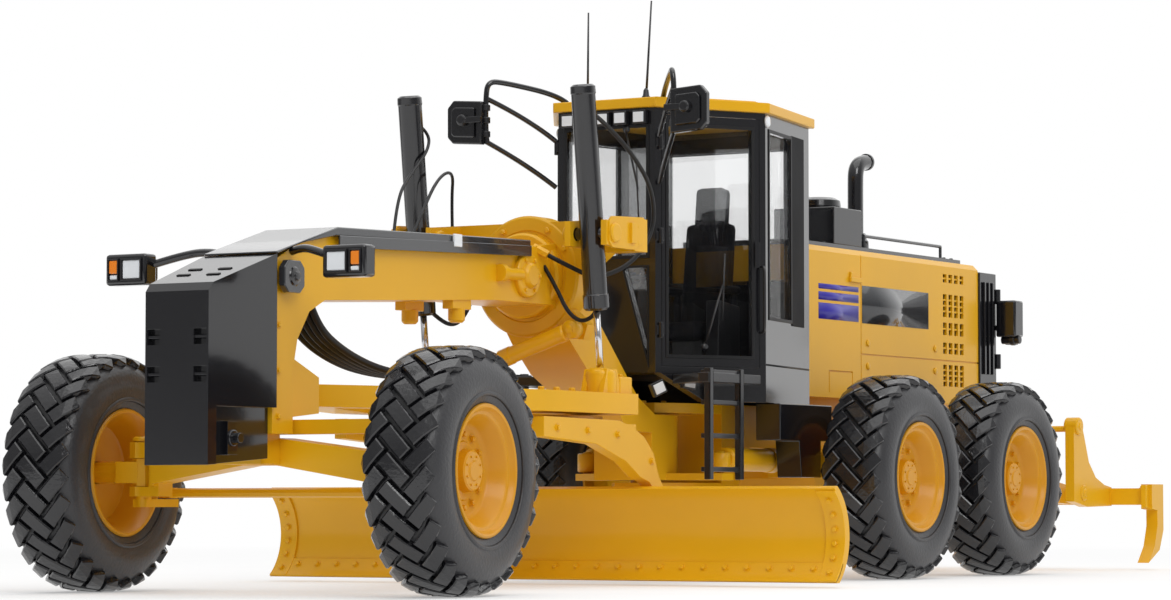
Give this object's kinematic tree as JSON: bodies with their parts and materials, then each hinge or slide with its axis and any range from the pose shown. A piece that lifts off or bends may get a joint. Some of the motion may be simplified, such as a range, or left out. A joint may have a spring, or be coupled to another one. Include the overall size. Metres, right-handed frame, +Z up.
{
  "type": "scale model of a motor grader",
  "caption": "Scale model of a motor grader with steered front wheels, pivoting frame, liftable drawbar, turning circle, shifting blade and rear ripper.",
  "frame": {"origin": "on the floor, under the middle of the model's box", "axes": "-Y towards the front of the machine, +X to its left, +Z up"},
  "size_m": [0.082, 0.21, 0.0745],
  "materials": {
    "yellow_paint": "glossy yellow enamel",
    "black_paint": "glossy black enamel",
    "black_plastic": "satin black moulding",
    "tyre": "matt rubber",
    "glass": "clear moulding",
    "lens": "clear and amber lenses in black cases",
    "chrome": "polished",
    "dark_grey": "satin dark grey"
  },
  "bodies": {
    "rear_frame": {"rear_frame": "yellow_paint", "rear_axle": "yellow_paint", "hood": "yellow_paint", "radiator_shroud": "black_paint", "tail_lamps": "lens", "hood_deck": "dark_grey", "air_cleaner": "black_paint", "exhaust": "black_paint", "cab": "black_paint", "cab_door_left": "black_paint", "cab_door_right": "black_paint", "cab_glass": "glass", "cab_roof": "yellow_paint", "cab_floor": "black_plastic", "seat": "black_plastic", "cab_console": "black_plastic", "mirrors": "black_paint", "antennas": "black_plastic", "roof_lamps": "lens", "steps": "black_plastic", "side_boxes": "black_paint"},
    "front_frame": {"front_frame": "yellow_paint", "front_axle": "yellow_paint", "lift_saddle": "yellow_paint", "frame_deck": "dark_grey", "counterweight": "black_paint", "headlamps": "lens"},
    "knuckle_left": {"knuckle_left": "yellow_paint"},
    "knuckle_right": {"knuckle_right": "yellow_paint"},
    "tie_rod": {"tie_rod": "yellow_paint"},
    "drawbar": {"drawbar": "yellow_paint"},
    "circle": {"circle": "yellow_paint"},
    "blade": {"moldboard": "yellow_paint"},
    "ripper": {"ripper": "yellow_paint"},
    "ripper_barrel": {"ripper_barrel": "yellow_paint"},
    "ripper_rod": {"ripper_rod": "chrome"},
    "shift_barrel": {"shift_barrel": "yellow_paint"},
    "shift_rod": {"shift_rod": "chrome"},
    "wheel_front_left": {"tyre_front_left": "tyre", "rim_front_left": "yellow_paint"},
    "wheel_middle_left": {"tyre_middle_left": "tyre", "rim_middle_left": "yellow_paint"},
    "wheel_rear_left": {"tyre_rear_left": "tyre", "rim_rear_left": "yellow_paint"},
    "wheel_front_right": {"tyre_front_right": "tyre", "rim_front_right": "yellow_paint"},
    "wheel_middle_right": {"tyre_middle_right": "tyre", "rim_middle_right": "yellow_paint"},
    "wheel_rear_right": {"tyre_rear_right": "tyre", "rim_rear_right": "yellow_paint"},
    "lift_left_barrel": {"lift_left_barrel": "black_paint", "lift_hose_left": "black_plastic"},
    "lift_left_rod": {"lift_left_rod": "chrome"},
    "lift_right_barrel": {"lift_right_barrel": "black_paint"},
    "lift_right_rod": {"lift_right_rod": "chrome"},
    "turn_left_rod": {"turn_left_rod": "chrome"},
    "turn_left_barrel": {"turn_left_barrel": "yellow_paint"},
    "turn_right_rod": {"turn_right_rod": "chrome"},
    "turn_right_barrel": {"turn_right_barrel": "yellow_paint"}
  },
  "joints": [
    {"name": "articulation", "type": "hinge", "parent": "rear_frame", "child": "front_frame", "pos_m": [0, -0.005, 0.017], "axis": [0, 0, 1], "range_deg": [-25, 25]},
    {"name": "steer_left", "type": "hinge", "parent": "front_frame", "child": "knuckle_left", "pos_m": [0.0174, -0.088, 0.0135], "axis": [0, 0, 1], "range_deg": [-45, 35]},
    {"name": "steer_right", "type": "hinge", "parent": "front_frame", "child": "knuckle_right", "pos_m": [-0.0174, -0.088, 0.0135], "axis": [0, 0, 1], "range_deg": [-45, 35]},
    {"name": "tie_rod_shift", "type": "slide", "parent": "front_frame", "child": "tie_rod", "axis": [1, 0, 0], "range_m": [-0.0045, 0.0045]},
    {"name": "roll_front_left", "type": "hinge", "parent": "knuckle_left", "child": "wheel_front_left", "pos_m": [0.02372, -0.08742, 0.0135], "axis": [0.9959, 0.0906, 0], "continuous": true},
    {"name": "roll_middle_left", "type": "hinge", "parent": "rear_frame", "child": "wheel_middle_left", "pos_m": [0.02375, 0.01975, 0.0135], "axis": [1, 0, 0], "continuous": true},
    {"name": "roll_rear_left", "type": "hinge", "parent": "rear_frame", "child": "wheel_rear_left", "pos_m": [0.02375, 0.05325, 0.0135], "axis": [1, 0, 0], "continuous": true},
    {"name": "roll_front_right", "type": "hinge", "parent": "knuckle_right", "child": "wheel_front_right", "pos_m": [-0.02372, -0.08858, 0.0135], "axis": [0.9959, 0.0906, 0], "continuous": true},
    {"name": "roll_middle_right", "type": "hinge", "parent": "rear_frame", "child": "wheel_middle_right", "pos_m": [-0.02375, 0.01975, 0.0135], "axis": [1, 0, 0], "continuous": true},
    {"name": "roll_rear_right", "type": "hinge", "parent": "rear_frame", "child": "wheel_rear_right", "pos_m": [-0.02375, 0.05325, 0.0135], "axis": [1, 0, 0], "continuous": true},
    {"name": "drawbar_lift", "type": "hinge", "parent": "front_frame", "child": "drawbar", "pos_m": [0, -0.085, 0.022], "axis": [1, 0, 0], "range_deg": [-10, 5]},
    {"name": "circle_turn", "type": "hinge", "parent": "drawbar", "child": "circle", "pos_m": [0, -0.042, 0.019], "axis": [0, 0, -1], "range_deg": [-50, 50]},
    {"name": "blade_shift", "type": "slide", "parent": "circle", "child": "blade", "axis": [1, 0, 0], "range_m": [-0.008, 0.008]},
    {"name": "lift_left_swing", "type": "hinge", "parent": "front_frame", "child": "lift_left_barrel", "pos_m": [0.0125, -0.0392, 0.0425], "axis": [1, 0, 0], "range_deg": [-3, 3]},
    {"name": "lift_left_stroke", "type": "slide", "parent": "lift_left_barrel", "child": "lift_left_rod", "axis": [0, -0.1205, 0.9927], "range_m": [-0.009, 0.0064]},
    {"name": "lift_right_swing", "type": "hinge", "parent": "front_frame", "child": "lift_right_barrel", "pos_m": [-0.0125, -0.0392, 0.0425], "axis": [1, 0, 0], "range_deg": [-3, 3]},
    {"name": "lift_right_stroke", "type": "slide", "parent": "lift_right_barrel", "child": "lift_right_rod", "axis": [0, -0.1205, 0.9927], "range_m": [-0.009, 0.0064]},
    {"name": "shift_swing", "type": "hinge", "parent": "front_frame", "child": "shift_barrel", "pos_m": [0.0076, -0.0356, 0.0312], "axis": [0, 1, 0], "range_deg": [-26, 20]},
    {"name": "shift_stroke", "type": "slide", "parent": "shift_barrel", "child": "shift_rod", "axis": [-0.9474, 0, -0.3199], "range_m": [-0.004, 0.005]},
    {"name": "turn_left_swing", "type": "hinge", "parent": "rear_frame", "child": "turn_left_rod", "pos_m": [0.01, 0.0225, 0.0157], "axis": [0, 0, 1], "range_deg": [-4, 4]},
    {"name": "turn_left_stroke", "type": "slide", "parent": "turn_left_rod", "child": "turn_left_barrel", "axis": [0, -1, 0], "range_m": [-0.005, 0.005]},
    {"name": "turn_right_swing", "type": "hinge", "parent": "rear_frame", "child": "turn_right_rod", "pos_m": [-0.01, 0.0225, 0.0157], "axis": [0, 0, 1], "range_deg": [-4, 4]},
    {"name": "turn_right_stroke", "type": "slide", "parent": "turn_right_rod", "child": "turn_right_barrel", "axis": [0, -1, 0], "range_m": [-0.005, 0.005]},
    {"name": "ripper_lift", "type": "hinge", "parent": "rear_frame", "child": "ripper", "pos_m": [0, 0.0855, 0.012], "axis": [1, 0, 0], "range_deg": [-6, 25]},
    {"name": "ripper_swing", "type": "hinge", "parent": "rear_frame", "child": "ripper_barrel", "pos_m": [0, 0.075, 0.0234], "axis": [1, 0, 0], "range_deg": [-4, 4]},
    {"name": "ripper_stroke", "type": "slide", "parent": "ripper_barrel", "child": "ripper_rod", "axis": [0, 0.9762, -0.2169], "range_m": [-0.0042, 0.0015]}
  ],
  "couplings": [
    {"joint": "steer_right", "follows": "steer_left", "ratio": 1},
    {"joint": "tie_rod_shift", "follows": "steer_left", "m_per_rad": -0.0052},
    {"joint": "lift_left_swing", "follows": "drawbar_lift", "ratio": 0.1489},
    {"joint": "lift_left_stroke", "follows": "drawbar_lift", "m_per_rad": 0.04794},
    {"joint": "lift_right_swing", "follows": "drawbar_lift", "ratio": 0.1489},
    {"joint": "lift_right_stroke", "follows": "drawbar_lift", "m_per_rad": 0.04794},
    {"joint": "shift_swing", "follows": "drawbar_lift", "ratio": 2.474},
    {"joint": "shift_stroke", "follows": "drawbar_lift", "m_per_rad": -0.02229},
    {"joint": "turn_left_swing", "follows": "articulation", "ratio": -0.1},
    {"joint": "turn_left_stroke", "follows": "articulation", "m_per_rad": -0.01},
    {"joint": "turn_right_swing", "follows": "articulation", "ratio": -0.1},
    {"joint": "turn_right_stroke", "follows": "articulation", "m_per_rad": 0.01},
    {"joint": "ripper_swing", "follows": "ripper_lift", "ratio": 0.08},
    {"joint": "ripper_stroke", "follows": "ripper_lift", "m_per_rad": -0.00885}
  ]
}
